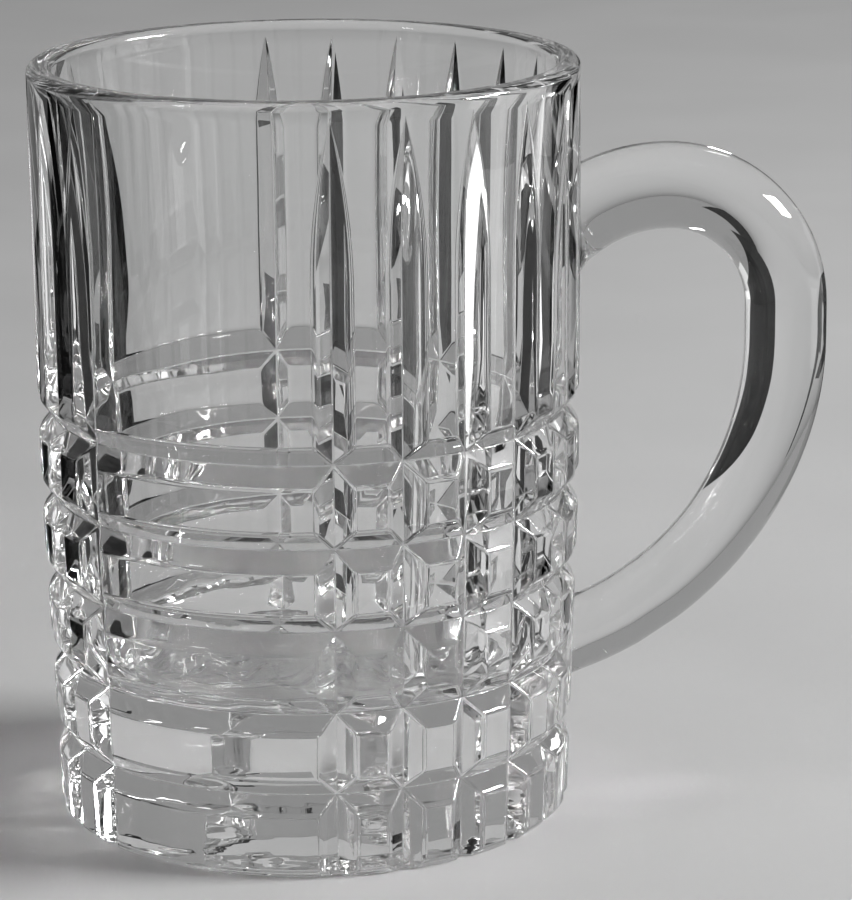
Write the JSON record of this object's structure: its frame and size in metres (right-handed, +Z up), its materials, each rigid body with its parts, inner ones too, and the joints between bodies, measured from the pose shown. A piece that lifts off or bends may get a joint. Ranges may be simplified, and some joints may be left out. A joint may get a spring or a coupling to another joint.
{
  "type": "beer mug",
  "caption": "Heavy tapered beer mug of clear cut glass: thick solid base, upright mitre-cut flutes crossed by ring cuts in the lower half, plain rounded rim, and a fused-on loop handle.",
  "frame": {"origin": "centre of the flat resting face, on the axis of the body", "axes": "+Z up along the axis of the body, +X from that axis towards the handle"},
  "size_m": [0.1371, 0.0932, 0.13],
  "materials": {
    "body_glass": "polished, clear",
    "handle_glass": "fire polished, clear"
  },
  "bodies": {
    "root": {"mug_body": "body_glass", "handle": "handle_glass"}
  },
  "joints": []
}
